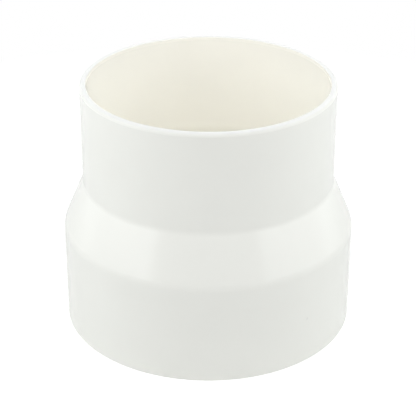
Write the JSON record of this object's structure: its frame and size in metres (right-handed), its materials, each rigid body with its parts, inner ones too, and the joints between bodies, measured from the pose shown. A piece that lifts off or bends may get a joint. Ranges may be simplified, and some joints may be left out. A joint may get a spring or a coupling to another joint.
{
  "type": "duct reducer",
  "caption": "Round moulded plastic duct reducer: a wide pipe socket and a narrower duct spigot joined by a short straight cone.",
  "frame": {"origin": "centre of the wide end, on the plane that the reducer stands on", "axes": "+Z along the duct's axis, from the wide socket to the narrow spigot; +X and +Y are any two directions across it, since the part is round"},
  "size_m": [0.116, 0.116, 0.1],
  "materials": {
    "white_plastic": "satin moulded, warm white"
  },
  "bodies": {
    "root": {"reducer": "white_plastic"}
  },
  "joints": []
}
